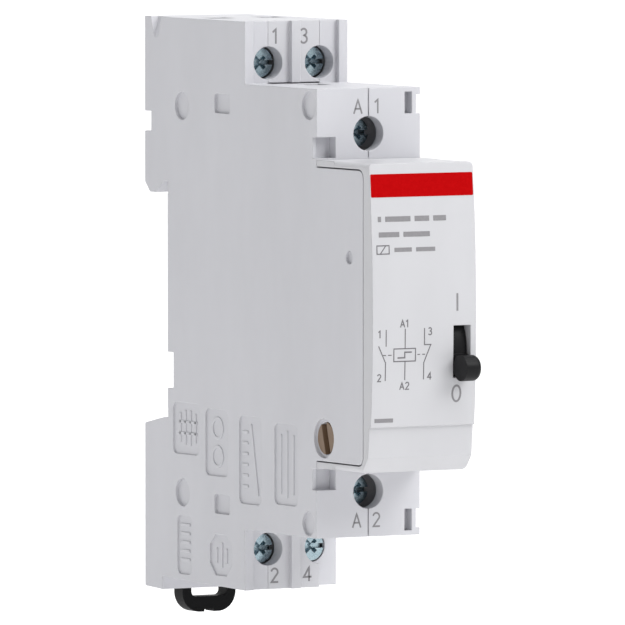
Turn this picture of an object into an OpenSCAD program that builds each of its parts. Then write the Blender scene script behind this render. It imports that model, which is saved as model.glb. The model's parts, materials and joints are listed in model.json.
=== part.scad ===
// Modular DIN rail switching relay, one module wide, with two power contacts,
// a coil, a manual lever, six screw terminals and a rail clip.
// +Z is up, the front faces -Y, X runs across the width. The origin is the
// centre of the seat that rests on the rail.

/* [Housing] */
// Width of the module across the rail
module_w = 17.5; // [17:0.25:24]
// Height of the nose that shows through a panel cut-out
nose_h = 45; // [45:0.5:56]
// Height that the middle tier rises past the nose, at the top and at the bottom
tier_rise = 10.35; // [8.5:0.05:14]
// Height that the rear tier rises past the middle tier, at the top and at the bottom
rear_rise = 9.25; // [7.5:0.05:12]
// Depth of the rear tier in front of the rail seat
rear_depth = 23; // [23:0.5:28]
// Depth of the middle tier in front of the rear tier
tier_step = 21; // [20:0.5:27]
// Depth of the nose in front of the middle tier, at mid height
nose_step = 16.1; // [15:0.1:21]
// Depth of the housing behind the rail seat
back_depth = 6.8; // [6:0.2:9]
// Thickness of the side walls
side_wall = 1.2; // [0.9:0.1:1.5]
// Thickness of the outer top, bottom and back walls
rim_wall = 1.2; // [0.9:0.1:1.6]
// Thickness of the inner ribs
rib = 0.8; // [0.6:0.1:1.0]

/* [Rail] */
// Width of the mounting rail
rail_w = 35; // [35:0.5:42]
// Thickness of the rail's lips
rail_lip = 1.0; // [0.8:0.1:1.5]
// Play between the rail's upper edge and the housing
rail_play = 0.25; // [0.1:0.05:0.5]
// Height of the hook that grips behind the rail's upper edge
hook_lap = 1.8; // [1.2:0.1:2.4]

/* [Front cap] */
// Thickness of the cap's top and bottom flanges
cap_flange = 0.9; // [0.7:0.1:1.2]
// Thickness of the cap's front wall
cap_wall = 1.5; // [1.2:0.1:2]
// Bulge of the cap's face over the height of the nose
cap_bulge = 1.1; // [0.6:0.1:2]
// Radius of the cap's front edges
cap_edge_r = 0.7; // [0.4:0.1:0.9]
// Gap between the cap and the shells
cap_gap = 0.2; // [0.1:0.05:0.3]
// Distance from the middle of the nose down to the crease in the face
crease_drop = 15.8; // [14:0.2:17]

/* [Terminals] */
// Distance of a contact terminal from the middle of the module
pole_x = 4.35; // [4.2:0.05:4.5]
// Height of the contact terminals' screws past the middle tier
pole_rise = 3.05; // [3:0.05:3.6]
// Height of the coil terminals' screws past the nose
coil_rise = 3.7; // [3.6:0.05:4.4]
// Radius of a contact terminal's screwdriver hole
pole_hole_r = 2.45; // [2.3:0.05:2.6]
// Radius of a coil terminal's screwdriver hole
coil_hole_r = 2.55; // [2.3:0.05:2.7]
// Radius of the terminal screws' heads
head_r = 2.2; // [1.8:0.05:2.25]
// Thickness of the terminal screws' heads
head_t = 2.4; // [2:0.1:2.8]
// Radius of the terminal screws' shanks
shank_r = 1.5; // [1.2:0.05:1.7]
// Thickness of the clamp cages' sheet
cage_t = 0.7; // [0.5:0.05:0.8]
// Thickness of the busbars
busbar_t = 1.0; // [0.8:0.05:1.1]
// Width of a wire opening
wire_w = 4.2; // [4.1:0.05:4.4]

/* [Lever] */
// Distance of the lever from the middle of the module
lever_x = 6.35; // [6.2:0.05:6.45]
// Width of the lever's slot in the cap
slot_w = 2.9; // [2.6:0.1:3]
// Height of the lever's slot in the cap
slot_h = 7.6; // [7.2:0.1:8.2]
// Height of the lever's axis below the rail's centre
lever_drop = 5.05; // [4.5:0.05:5.5]
// Distance of the lever's axis behind the cap's face
lever_set = 10.1; // [9.6:0.1:10.6]
// Angle that the lever turns from O to I
lever_swing = 22; // [16:1:23]
// Radius of the lever's knob
knob_r = 1.9; // [1.6:0.1:2.1]
// Distance of the knob from the lever's axis
knob_reach = 12.25; // [12.2:0.05:13]
// Length of the knob
knob_len = 2.75; // [2.5:0.05:3.2]

/* [Rotor and contacts] */
// Distance of the coupling rotor's axis in front of the middle tier
rotor_set = 2.1; // [1.8:0.1:2.6]
// Height of the coupling rotor's axis below the rail's centre
rotor_drop = 18.05; // [17.6:0.05:18.1]
// Radius of the coupling rotor's shaft
rotor_r = 2.35; // [2.0:0.05:2.4]
// Distance of the contact carrier's axis behind the rotor's axis
carrier_set = 13.1; // [12.6:0.1:13.4]
// Height of the contact carrier's axis below the rail's centre
carrier_drop = 10; // [9.5:0.1:10.5]
// Length of the lever's crank
lever_crank = 7.8; // [7.4:0.1:8.2]
// Length of the rotor's crank
rotor_crank = 4.8; // [4.4:0.1:5]
// Radius of the crank pins
crank_pin_r = 0.7; // [0.6:0.05:0.8]
// Radius of the contact tips
tip_r = 1.05; // [0.9:0.05:1.1]
// Thickness of the contact tips
tip_t = 0.6; // [0.5:0.05:0.7]
// Height of the contact tips above the carrier's axis
tip_rise = 9.4; // [9:0.1:9.8]

/* [Coil] */
// Depth of the coil's axis in front of the rail seat
coil_depth = 11.9; // [11.7:0.05:12.1]
// Radius of the bobbin's flanges
flange_r = 6.9; // [6.2:0.1:7]
// Radius of the winding
winding_r = 6.3; // [5.4:0.1:6.4]
// Height of the bobbin
bobbin_h = 27; // [24:0.5:28]
// Radius of the iron core
core_r = 2.9; // [2.4:0.1:3.2]
// Thickness of the yoke's plates
yoke_t = 1.5; // [1.2:0.1:1.6]
// Angle that the armature swings
armature_swing = 6; // [4:0.5:7]

/* [Rail clip] */
// Width of the clip and of its pull loop
clip_w = 9.1; // [8.4:0.1:10.4]
// Distance that the loop hangs below the rear tier
loop_drop = 4.9; // [4.4:0.1:6]
// Width of the loop's sides
leg_w = 1.5; // [1.3:0.1:2.2]
// Thickness of the clip
clip_t = 2.6; // [2.4:0.1:2.7]
// Travel of the clip
clip_travel = 3.5; // [2.5:0.1:4]
// Radius of the clip's spring, to the middle of its wire
spring_r = 1.0; // [0.9:0.05:1.02]

/* [Hidden] */
$fn = 64;

// How far a cut runs past the face it opens
over = 1;
// Running clearance of a shaft in its hole, on the radius
run = 0.05;
// Clearance between pieces that pass each other
pass = 0.3;
// Clearance of a piece that seats in a pocket
seat = 0.05;

half_w = module_w / 2;
inner_x = half_w - side_wall;
nose_top = nose_h / 2;
tier_top = nose_top + tier_rise;
rear_top = tier_top + rear_rise;
pole_z = tier_top + pole_rise;
coil_z = nose_top + coil_rise;
tier_depth = rear_depth + tier_step;
nose_depth = tier_depth + nose_step;
lever_depth = nose_depth - lever_set;
rotor_depth = tier_depth + rotor_set;
carrier_depth = rotor_depth - carrier_set;
// Radius of the arc of the cap's face
face_r = (nose_top * nose_top + cap_bulge * cap_bulge) / (2 * cap_bulge);
// Front of the shells' nose, and its height under the cap's flanges
shell_nose_y = -(nose_depth - cap_bulge - cap_wall) + cap_gap;
shell_nose_top = nose_top - cap_flange - cap_gap;

// Faces of the rear tier: ridges stand proud of the panel with the holes
ridge_w = 1.45;
mid_ridge_w = 1.5;
ridge_rise = 0.75;
panel_y = -rear_depth + ridge_rise;
// Corner radius of the shells' nose
nose_r = 1.2;
// Width of the lugs that snap the cap to the shells
lug_w = 6;
// Recess in the top edge of the left side: its middle, its height and the slope of its floor
recess_y = 3.45;
recess_h = 3.1;
recess_slope = 24;
// Gap under the panels of the terminal partitions
base_gap = 0.15;
// Depth of the step in the lower right terminal face
set_back = 3.3;
// Groove along the parting line of the shells
seam_w = 0.2;
seam_depth = 0.5;
// Larger than the part's height above or below the rail's centre
half_size = rear_top + 10;
// Length of the screwdriver holes' walls
coil_hole_len = 2.1;
// Distance of the screw heads behind the holes' mouths
pole_head_set = 2.55;
coil_head_set = 3.9;
pole_head_y = panel_y + pole_head_set;
coil_head_y = -tier_depth + coil_head_set;
// Thread length that the cage can use in front of the busbar
thread_run = 7.0;

// Rail channel
channel_top = rail_w / 2 + rail_play;
channel_bottom = -rail_w / 2;
lip_y = 3.4;
lip_slope = 1.3;
// Front of the foot behind the rail seat, and how far it hangs below the rear tier
foot_y = 1.6;
foot_drop = 1.15;
// Height that the lower edge is raised, at the foot and at the front
foot_rise = 0.8;
front_rise = 0.22;
// Part of the seat that the hooks overhang is set back by this much
seat_relief = 0.1;
// Groove across the rail seat, as its depth and its lower and upper edges
groove_depth = 1.75;
groove_z = [-13.1, -7.7];

// Cage around its busbar
cage_w = 2 * pole_hole_r + 0.9;
cage_h = 5.2;
cage_front_t = 1.4;
cage_back_t = 1.0;
cage_room = wire_w + 0.1;

// Lever and cranks, as angles in the YZ plane from +Y towards +Z
lever_at = [-lever_depth, -lever_drop];
rotor_at = [-rotor_depth, -rotor_drop];
carrier_at = [-carrier_depth, -carrier_drop];
lever_to_rotor = rotor_at - lever_at;
rotor_to_carrier = carrier_at - rotor_at;
link_a = norm(lever_to_rotor);
link_b = norm(rotor_to_carrier);
half_swing = lever_swing / 2;
rotor_half = atan2(lever_crank * sin(half_swing), link_a - lever_crank * cos(half_swing));
carrier_half = atan2(rotor_crank * sin(rotor_half), link_b - rotor_crank * cos(rotor_half));
crank_angle = atan2(lever_to_rotor[1], lever_to_rotor[0]) + half_swing;
fork_angle = atan2(-lever_to_rotor[1], -lever_to_rotor[0]) - rotor_half;
tail_angle = atan2(rotor_to_carrier[1], rotor_to_carrier[0]) - rotor_half;
slot_angle = atan2(-rotor_to_carrier[1], -rotor_to_carrier[0]) + carrier_half;
fork_len = link_a - lever_crank;
tail_len = link_b - rotor_crank;
drum_r = nose_depth - lever_depth - 0.9;
// Planes across the width where the cranks run
lever_w = slot_w - 0.4;
crank_x = lever_x - lever_w / 2;
// Inner face of the right wall beside the lever
lever_wall_x = max(lever_x + lever_w / 2 + 0.4, inner_x);
crank_t = 1.0;
fork_x = crank_x + crank_t + pass;
fork_t = 0.7;
// Radius of the rotor's shoulders
shoulder_r = rotor_r + 0.35;
tail_x = -0.9;
tail_t = 0.9;

// Contacts
tip_z = -carrier_drop + tip_rise;
bridge_t = 0.8;
bridge_w = 5.5;
bridge_h = 2.4;
bridge_x = pole_x;
tip_pitch = 2 * tip_r + 1.2;
// Width of the carrier's posts, which fit between a bridge's tips
post_w = tip_pitch - 2 * tip_r - 0.1;
// Plane of the bridges, a little in front of the carrier's axis
bridge_y = -carrier_depth - 0.8;
// Play of a closed contact, and gap of an open one, which the carrier's turn just closes
tip_play = 0.08;
tip_gap = (tip_rise + tip_r) * sin(2 * carrier_half) + tip_play;
fixed_t = 0.8;
strip_w = 2.2;
// Plane of the strips that come down from the terminals
drop_y = -rear_depth + 0.1;
hub_r = 1.9;
pin_r = 1.0;

// Coil
yoke_y = -coil_depth + flange_r + 0.3;
coil_base = -bobbin_h / 2 - yoke_t;
core_top = bobbin_h / 2 + 0.8;
yoke_w = 12;
yoke_lug = 4.5;
knuckle_r = 0.45;
armature_t = 1.4;
hinge_z = core_top + 0.1;
hinge_y = yoke_y + yoke_t / 2;
pawl_w = 1.6;
armature_len = coil_depth + core_r + 1.2 + hinge_y;

// Clip
clip_y = 2.9;
// Front of the clip's hook, just behind the rail's lip
hook_y = rail_lip + 0.2;
hook_h = 1.3;
hook_w = clip_w - 1;
hook_bottom = channel_bottom - 4;
loop_z = -rear_top - loop_drop;
loop_bar = 2.3;
loop_r = 3;
window_w = 3.4;
window_top = hook_bottom - 0.5;
lug_z = window_top - 9.5;
lug_t = 1.5;
spring_wire_r = 0.25;
spring_turns = 6;

// Depth of the blank fields in the left side
field_depth = 0.25;
// Locating pins between the half shells, as [Y, Z]
pin_sites = [[-4.6, 24.9], [-4.6, -24.2], [-tier_depth + 3, 15.2], [-carrier_depth - 1.6, -18.6]];
boss_r = 1.8;

// Point of the YZ plane at a distance and an angle
function along(d, a) = d * [cos(a), sin(a)];

// Side of the housing that a contact terminal is on
function side(n) = (n == 1 || n == 2) ? -1 : 1;
function up(n) = (n == 1 || n == 3) ? 1 : -1;

// Extrudes a YZ outline from x0 to x1
module across(x0, x1) {
    translate([x0, 0, 0]) rotate([90, 0, 90]) linear_extrude(x1 - x0) children();
}

// Box between two corners
module block(a, b) {
    translate(a) cube(b - a);
}

// Rectangle between two corners
module rect(a, b) {
    translate(a) square(b - a);
}

// Rectangle between two corners with rounded corners
module round_rect(a, b, r) {
    translate([a[0] + r, a[1]]) square([b[0] - a[0] - 2 * r, b[1] - a[1]]);
    translate([a[0], a[1] + r]) square([b[0] - a[0], b[1] - a[1] - 2 * r]);
    for (y = [a[0] + r, b[0] - r], z = [a[1] + r, b[1] - r]) translate([y, z]) circle(r);
}

// Cylinder along X from x0 to x1 about a point of the YZ plane
module bar_x(x0, x1, at, r) {
    translate([x0, at[0], at[1]]) rotate([0, 90, 0]) cylinder(r = r, h = x1 - x0);
}

// Cylinder along Y from y0 to y1
module bar_y(y0, y1, x, z, r) {
    translate([x, y1, z]) rotate([90, 0, 0]) cylinder(r = r, h = y1 - y0);
}

// Straight arm with round ends, drawn from a point at an angle
module arm(at, angle, len, r) {
    translate(at) rotate(angle) {
        circle(r);
        translate([0, -r]) square([len, 2 * r]);
        translate([len, 0]) circle(r);
    }
}

// Mirror image about the rail's centre plane when s is -1
module flip(s) {
    if (s < 0) mirror([0, 0, 1]) children();
    else children();
}

// ---------- housing ----------

// Outline of both shells, without the rail channel
module tiers() {
    rect([-rear_depth, -rear_top], [back_depth, rear_top]);
    // Foot of the block behind the rail seat
    polygon([[foot_y, -rear_top + over], [foot_y, -rear_top - foot_drop],
        [back_depth, -rear_top - foot_drop + 0.25], [back_depth, -rear_top + over]]);
    rect([-tier_depth, -tier_top], [0, tier_top]);
    round_rect([shell_nose_y, -shell_nose_top], [-tier_depth + 2, shell_nose_top], nose_r);
}

// Cut under the front part, whose lower edge rises towards the foot
module underside() {
    polygon([[-rear_depth - over, -rear_top - foot_drop - over], [foot_y, -rear_top - foot_drop - over],
        [foot_y, -rear_top + foot_rise], [-rear_depth - over, -rear_top + front_rise]]);
}

// Space for the rail and the room behind it
module rail_channel() {
    rect([0, channel_bottom], [back_depth + over, channel_top]);
    rect([-seat_relief, channel_top - hook_lap - seat_relief], [over, channel_top]);
    rect([-seat_relief, channel_bottom], [over, channel_bottom + hook_h + seat_relief]);
    // Undercut behind the upper edge, closed by a sloping face
    polygon([[lip_y, channel_top - hook_lap], [lip_y, channel_top - hook_lap - 3],
        [back_depth + over, channel_top - hook_lap - 3], [back_depth + over, channel_top - hook_lap]]);
    // Lower face falls away behind the rail's lip
    polygon([[0, channel_bottom + 0.01], [back_depth + over, channel_bottom + 0.01],
        [back_depth + over, channel_bottom - lip_slope], [rail_lip, channel_bottom]]);
}

// Hook that grips behind the rail's upper edge
module upper_hook() {
    polygon([[rail_lip, channel_top + 0.1], [lip_y, channel_top - hook_lap],
        [back_depth - 1.5, channel_top - hook_lap], [back_depth, channel_top - hook_lap + 1.5],
        [back_depth, channel_top + 0.1]]);
}

module housing_outline() {
    difference() {
        tiers();
        rail_channel();
        // Notch in the back edge above the upper hook
        rect([back_depth - 1.9, 25], [back_depth + over, 28]);
        underside();
    }
    upper_hook();
}

// Hollow inside the shells
module cavity_outline() {
    rect([pole_head_y - 0.1, -rear_top + rim_wall], [-rim_wall, rear_top - rim_wall]);
    rect([-tier_depth + coil_hole_len, -tier_top + rim_wall], [-rim_wall - 1, tier_top - rim_wall]);
    rect([shell_nose_y - over, -shell_nose_top + rim_wall],
        [-tier_depth + coil_hole_len + 1, shell_nose_top - rim_wall]);
}

// Space of one contact terminal that the partition block fills, upper side
module partition_room(gap) {
    block([-pole_x - gap, -rear_depth - over, tier_top - gap],
        [pole_x + gap, -rim_wall - 0.6 + gap, rear_top + over]);
}

// Ribs that hold the pieces of the upper terminals and of the coil's upper end
module upper_ribs() {
    floor_z = tier_top - rim_wall;
    // Floor under the contact terminals
    block([-inner_x, pole_head_y - 1, floor_z], [inner_x, -rim_wall, tier_top - seat]);
    // Floor under the coil terminal
    block([-inner_x, -tier_depth + 1, coil_z - cage_h / 2 - pass - rib],
        [inner_x, drop_y - 1.0, coil_z - cage_h / 2 - pass]);
    // Seat under the coil screw's head
    block([-inner_x, coil_head_y + head_t + 0.1, coil_z - cage_h / 2 - pass],
        [inner_x, coil_head_y + head_t + 0.1 + rib, tier_top - rim_wall]);
}

// Wall that carries the heads of two contact screws, between two X planes
module head_seat(x0, x1, top) {
    block([x0, pole_head_y + head_t + 0.1, tier_top - (x1 > pole_x ? 0.1 : 0)],
        [x1, pole_head_y + head_t + 0.1 + rib, top]);
}

// Holes of the upper contact terminals
module upper_pole_cuts() {
    for (x = [-pole_x, pole_x]) {
        bar_y(-rear_depth - over, pole_head_y, x, pole_z, pole_hole_r);
        bar_y(pole_head_y, pole_head_y + head_t + 0.1 + rib + over, x, pole_z, shank_r + 0.1);
        block([x - wire_w / 2, pole_wire_y(0), tier_top], [x + wire_w / 2, pole_wire_y(1), rear_top + over]);
    }
}

// Front and back of the contact terminals' wire openings
function pole_wire_y(end) = pole_head_y + head_t + thread_run + busbar_t + 0.1 + end * wire_w;
function coil_wire_y(end) = coil_head_y + head_t + thread_run - 0.5 + busbar_t + 0.1 + end * wire_w;

// Holes of the upper coil terminal
module upper_coil_cuts() {
    bar_y(-tier_depth - over, -tier_depth + coil_hole_len + over, 0, coil_z, coil_hole_r);
    bar_y(coil_head_y, coil_head_y + head_t + 2, 0, coil_z, shank_r + 0.1);
    block([-wire_w / 2, coil_wire_y(0), coil_z], [wire_w / 2, coil_wire_y(1), tier_top + over]);
}

// Pockets beside the nose and at the ends of the middle tier
module tier_pockets() {
    block([-half_w - over, -tier_depth - over, nose_top + cap_gap],
        [-half_w + 0.7, -tier_depth + 1.2, nose_top + 3.3]);
    block([-half_w + 0.6, -tier_depth - over, nose_top + cap_gap],
        [-half_w + 3.2, -tier_depth + 1.8, nose_top + 3.3]);
    block([half_w - 2.6, -tier_depth - over, tier_top - 3.85],
        [half_w - 1.35, -tier_depth + 1.6, tier_top - 0.65]);
    block([half_w - 0.65, -tier_depth - over, tier_top - 3.85],
        [half_w + over, -tier_depth + 1.6, tier_top - 1.05]);
    // Parting line of the shells in the tier's face
    block([-seam_w / 2, -tier_depth - over, nose_top + cap_gap],
        [seam_w / 2, -tier_depth + seam_depth, tier_top + over]);
}

// Everything of the housing across its whole width
module housing() {
    difference() {
        union() {
            difference() {
                across(-half_w, half_w) housing_outline();
                across(-inner_x, inner_x) cavity_outline();
            }
            for (s = [1, -1]) flip(s) upper_ribs();
            for (s = [1, -1]) flip(s) head_seat(-inner_x, inner_x, rear_top - rim_wall);
            // Wall behind the groove in the rail seat
            block([-inner_x, -groove_depth - rib, groove_z[0] - rib],
                [inner_x, -rim_wall + 0.1, groove_z[1] + rib]);
            // Lugs that hold the yoke against the rail seat
            for (z = [-10, 9], x = [-inner_x, inner_x - yoke_lug])
                block([x, yoke_y + yoke_t + seat, z], [x + yoke_lug, -rim_wall + 0.1, z + rib]);
        }
        // Groove across the rail seat
        block([-half_w - over, -groove_depth, groove_z[0]], [half_w + over, over, groove_z[1]]);
        // Panels between the ridges of the rear tier
        for (s = [1, -1]) flip(s)
            block([-half_w + ridge_w, -rear_depth - over, tier_top + 0.01],
                [half_w - ridge_w, panel_y, rear_top + over]);
        for (s = [1, -1]) flip(s) upper_pole_cuts();
        for (s = [1, -1]) flip(s) upper_coil_cuts();
        for (s = [1, -1]) flip(s) partition_room(seat);
        for (s = [1, -1]) flip(s) tier_pockets();
        // Lower right terminal face is set back
        block([pole_x - seat, -rear_depth - over, -half_size],
            [half_w + over, -rear_depth + set_back, -tier_top]);
        clip_room();
        strip_slots();
        // Bearings and collars of the coupling rotor
        bar_x(-half_w - over, half_w + over, rotor_at, rotor_r + run);
        for (x = [-half_w - over, half_w - 0.5]) bar_x(x, x + over + 0.5, rotor_at, rotor_r + 0.55);
        bar_x(-inner_x, inner_x, rotor_at, shoulder_r + 0.15);
        // Recesses for the cap's lugs
        for (s = [1, -1]) flip(s)
            block([-lug_w / 2 - 0.1, -tier_depth - 3.3, shell_nose_top - 0.3],
                [lug_w / 2 + 0.1, -tier_depth - 2.3, shell_nose_top + over]);
        // Round marks of the mould and the snap holes, on both sides
        for (x = [-half_w - over, half_w - 0.45]) side_marks(x);
    }
}

// Shallow recesses in a side wall
module side_marks(x) {
    for (at = [[-4.3, tier_top - 3.75], [-tier_depth + 2.2, tier_top - 2.45], [-4.5, -tier_top + 4.45]])
        bar_x(x, x + over + 0.45, at, 2.1);
    bar_x(x, x + over + 0.45, [-tier_depth + 2.3, -tier_top + 2.05], 1.8);
    for (z = [tier_top - 3.05, -tier_top + 3.35])
        across(x, x + over + 0.45) round_rect([-18.6, z - 1.45], [-14, z + 1.45], 0.5);
    bar_x(x, x + over + 0.45, [-tier_depth - 9.4, 8.7], 1);
}

// Slots for the busbars in the inner floors
module strip_slots() {
    for (n = [1, 3]) flip(1) strip_slot(n);
    for (n = [2, 4]) flip(-1) strip_slot(n);
    for (s = [1, -1]) flip(s)
        block([-strip_half(0) - seat, coil_bar_y() - seat, coil_z - 5],
            [strip_half(0) + seat, coil_bar_y() + busbar_t + seat, coil_z]);
}

module strip_slot(n) {
    x = side(n) * pole_x;
    block([x - strip_half(n) - seat, pole_bar_y() - seat, tier_top - rim_wall - 1],
        [x + strip_half(n) + seat, pole_bar_y() + busbar_t + seat, tier_top + 1]);
}

// Half width of a busbar inside its cage
function strip_half(n) = n == 0 ? 1.5 : 1.8;
// Front face of the busbars inside their cages
function pole_bar_y() = pole_wire_y(0) - busbar_t - 0.1;
function coil_bar_y() = coil_wire_y(0) - busbar_t - 0.1;

// Channel of the rail clip through the lower back block
module clip_room() {
    block([-clip_w / 2 - 0.1, clip_y - 0.1, -rear_top - foot_drop - over],
        [clip_w / 2 + 0.1, clip_y + clip_t + 0.1, channel_bottom + over]);
    // Room in front for the hook's head and its travel
    block([-clip_w / 2 - 0.1, hook_y - 0.1, hook_bottom - clip_travel - pass],
        [clip_w / 2 + 0.1, clip_y, channel_bottom + over]);
}

module half(s) {
    intersection() {
        housing();
        translate([s < 0 ? -half_w - over : 0, -nose_depth, -half_size])
            cube([half_w + over, nose_depth + back_depth + over, 2 * half_size]);
    }
}

module left_shell() color([0.86, 0.86, 0.88]) {
    difference() {
        union() {
            half(-1);
            for (at = pin_sites) bar_x(-inner_x - 0.1, 0, at, boss_r);
            // Bosses of the lever pin and of the carrier pin
            bar_x(-inner_x - 0.1, crank_x - pass, lever_at, 2);
            bar_x(-inner_x - 0.1, -inner_x + 0.6, carrier_at, 2);
            // Lug that the clip spring pushes against
            block([-window_w / 2 + 0.3, clip_y - 0.2, lug_z - lug_t], [0, clip_y + clip_t + 0.2, lug_z]);
        }
        for (at = pin_sites) bar_x(-5, over, at, pin_r + run);
        bar_x(-inner_x + 1, crank_x, lever_at, pin_r);
        bar_x(-inner_x - 0.6, 0, carrier_at, pin_r);
        // V-shaped recess in the top edge
        edge_recess();
        side_fields();
    }
}

// V-shaped recess whose floor slopes inwards towards the top edge
module edge_recess() {
    translate([-half_w, 0, rear_top - recess_h]) rotate([0, recess_slope, 0])
        across(-2, 0) {
            polygon([[recess_y - 0.95, 1], [recess_y - 1.75, 3.4], [recess_y - 1.75, 5],
                [recess_y + 1.75, 5], [recess_y + 1.75, 3.4], [recess_y + 0.95, 1]]);
            translate([recess_y, 1]) circle(0.95);
        }
}

// Shallow blank fields in the left side, as [lower Y, lower Z, upper Y, upper Z]
module side_fields() {
    fields = [[-9.4, -22.7, -1.6, -15], [-18, -25.4, -11.3, -15.5], [-27.8, -29, -21.3, -16],
        [-38.5, -28.5, -31.7, -16.5], [-7.2, -40.6, -2.9, -31.8]];
    for (f = fields) across(-half_w - over, -half_w + field_depth)
        round_rect([f[0], f[1]], [f[2], f[3]], 1);
    across(-half_w - over, -half_w + field_depth)
        polygon([[-12.6, -35.5], [-12.6, -38.3], [-14.3, -40.1], [-17.6, -40.1],
            [-19.2, -38.3], [-19.2, -35.5], [-17.6, -34], [-14.3, -34]]);
}

// Wall behind the set-back face, with the hole of the screw in it
module set_back_wall() {
    difference() {
        block([pole_x + seat, -rear_depth + set_back, -rear_top + front_rise + rib],
            [inner_x + 0.1, -rear_depth + set_back + rib, -tier_top]);
        bar_y(-rear_depth, -rear_depth + set_back + rib + over, pole_x, -pole_z, pole_hole_r);
    }
}

module right_shell() color([0.86, 0.86, 0.88]) {
    set_back_wall();
    difference() {
        union() {
            half(1);
            for (at = pin_sites) bar_x(0, inner_x + 0.1, at, boss_r);
            for (at = pin_sites) bar_x(-4, 0.5, at, pin_r);
            bar_x(inner_x - 0.4, inner_x + 0.1, carrier_at, 2);
            block([0, clip_y - 0.2, lug_z - lug_t], [window_w / 2 - 0.3, clip_y + clip_t + 0.2, lug_z]);
        }
        // Room for the lever, and the seats of the two pins
        bar_x(lever_wall_x - over, lever_wall_x, lever_at, drum_r + 0.4);
        bar_x(0, lever_wall_x + 0.3, lever_at, pin_r);
        bar_x(0, inner_x + 0.6, carrier_at, pin_r);
    }
}

// ---------- front cap ----------

// Side view of the nose, with its bulged face
module nose_outline() {
    difference() {
        intersection() {
            round_rect([-nose_depth - 3, -nose_top], [-tier_depth - 0.1, nose_top], 0.05);
            translate([-nose_depth + face_r, 0]) circle(face_r, $fn = 200);
        }
        // Face below the crease steps and slopes back
        polygon([[-nose_depth - 1, -crease_drop], [-nose_depth + 0.95, -crease_drop],
            [-nose_depth + 1.35, -nose_top + 2.2], [-nose_depth + 3.1, -nose_top - 0.1],
            [-nose_depth - 1, -nose_top - 0.1]]);
    }
}

module front_cap() color([0.93, 0.93, 0.94]) {
    difference() {
        across(-half_w, half_w) nose_outline();
        // Pocket for the shells' nose
        across(-half_w - over, half_w + over)
            round_rect([shell_nose_y - cap_gap, -nose_top + cap_flange],
                [-tier_depth + 4, nose_top - cap_flange], nose_r + cap_gap);
        // Hollow behind the face, leaving narrow side walls
        across(-half_w + 1, half_w - 1) difference() {
            rect([-nose_depth, -nose_top + 2.4], [-tier_depth, nose_top - 2.4]);
            translate([-nose_depth + face_r, 0]) difference() {
                circle(face_r + over, $fn = 200);
                circle(face_r - cap_wall, $fn = 200);
            }
        }
        // Slot of the lever
        block([lever_x - slot_w / 2, -nose_depth - over, -lever_drop - slot_h / 2],
            [lever_x + slot_w / 2, -tier_depth - 4, -lever_drop + slot_h / 2]);
        // Rounded right-hand and left-hand upper corners of the face
        for (s = [1, -1]) for (e = [1, -1]) corner_round(s, e);
    }
    // Lugs that snap behind the shells' nose
    for (s = [1, -1]) flip(s)
        block([-lug_w / 2, -tier_depth - 3.2, nose_top - cap_flange - 0.35],
            [lug_w / 2, -tier_depth - 2.4, nose_top - cap_flange + 0.1]);
}

// Rounds one corner of the cap as seen from the front
module corner_round(s, e) {
    translate([s * half_w, 0, e * nose_top]) rotate([90, 0, 0])
        translate([0, 0, tier_depth + 5]) linear_extrude(nose_depth) difference() {
            translate([s > 0 ? -cap_edge_r : -over, e > 0 ? -cap_edge_r : -over]) square(cap_edge_r + over);
            translate([-s * cap_edge_r, -e * cap_edge_r]) circle(cap_edge_r);
        }
}

// ---------- terminal partitions ----------

module partition() {
    difference() {
        union() {
            // Panel with the inner halves of the two screwdriver holes
            block([-pole_x, panel_y, tier_top], [pole_x, pole_head_y - 0.1, rear_top]);
            block([-mid_ridge_w / 2, -rear_depth, tier_top], [mid_ridge_w / 2, pole_head_y, rear_top]);
            // Top with the inner halves of the two wire openings
            block([-pole_x, pole_head_y - 0.5, rear_top - rim_wall], [pole_x, -rim_wall - 0.6, rear_top]);
            // Wall between the two terminals
            block([-0.45, pole_head_y - 0.5, tier_top], [0.45, -rim_wall - 0.6, rear_top - 0.1]);
            head_seat(-pole_x, pole_x, rear_top - 0.1);
        }
        upper_pole_cuts();
        block([-pole_x - over, -rear_depth - over, tier_top - over],
            [pole_x + over, panel_y + rib, tier_top + base_gap]);
    }
}

module upper_terminal_partition() color([0.9, 0.9, 0.92]) partition();
module lower_terminal_partition() color([0.9, 0.9, 0.92]) difference() {
    flip(-1) partition();
    // The front part of the housing ends a little higher at the bottom
    across(-half_w, half_w) underside();
}

// ---------- terminals ----------

// Screw with a combined slot and cross in its head; its axis runs along +Y from the head's face
module terminal_screw(x, y, z, len) {
    translate([x, y, z]) {
        difference() {
            union() {
                bar_y(0, head_t, 0, 0, head_r);
                bar_y(0, len, 0, 0, shank_r);
            }
            translate([-head_r - over, -over, -0.35]) cube([2 * head_r + 2 * over, over + 1, 0.7]);
            for (a = [45, 135]) rotate([0, a, 0]) translate([-1.25, -over, -0.3])
                cube([2.5, over + 1.4, 0.6]);
        }
    }
}

// Clamp cage around a busbar; y is the busbar's front face
module clamp_cage(x, y, z) {
    front = y - 1.1 - cage_front_t;
    back = y + busbar_t + 0.1 + cage_room + cage_back_t;
    difference() {
        block([x - cage_w / 2, front, z - cage_h / 2], [x + cage_w / 2, back, z + cage_h / 2]);
        block([x - cage_w / 2 + cage_t, front + cage_front_t, z - cage_h],
            [x + cage_w / 2 - cage_t, back - cage_back_t, z + cage_h]);
        bar_y(front - over, front + cage_front_t + over, x, z, shank_r + run);
    }
}

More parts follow.
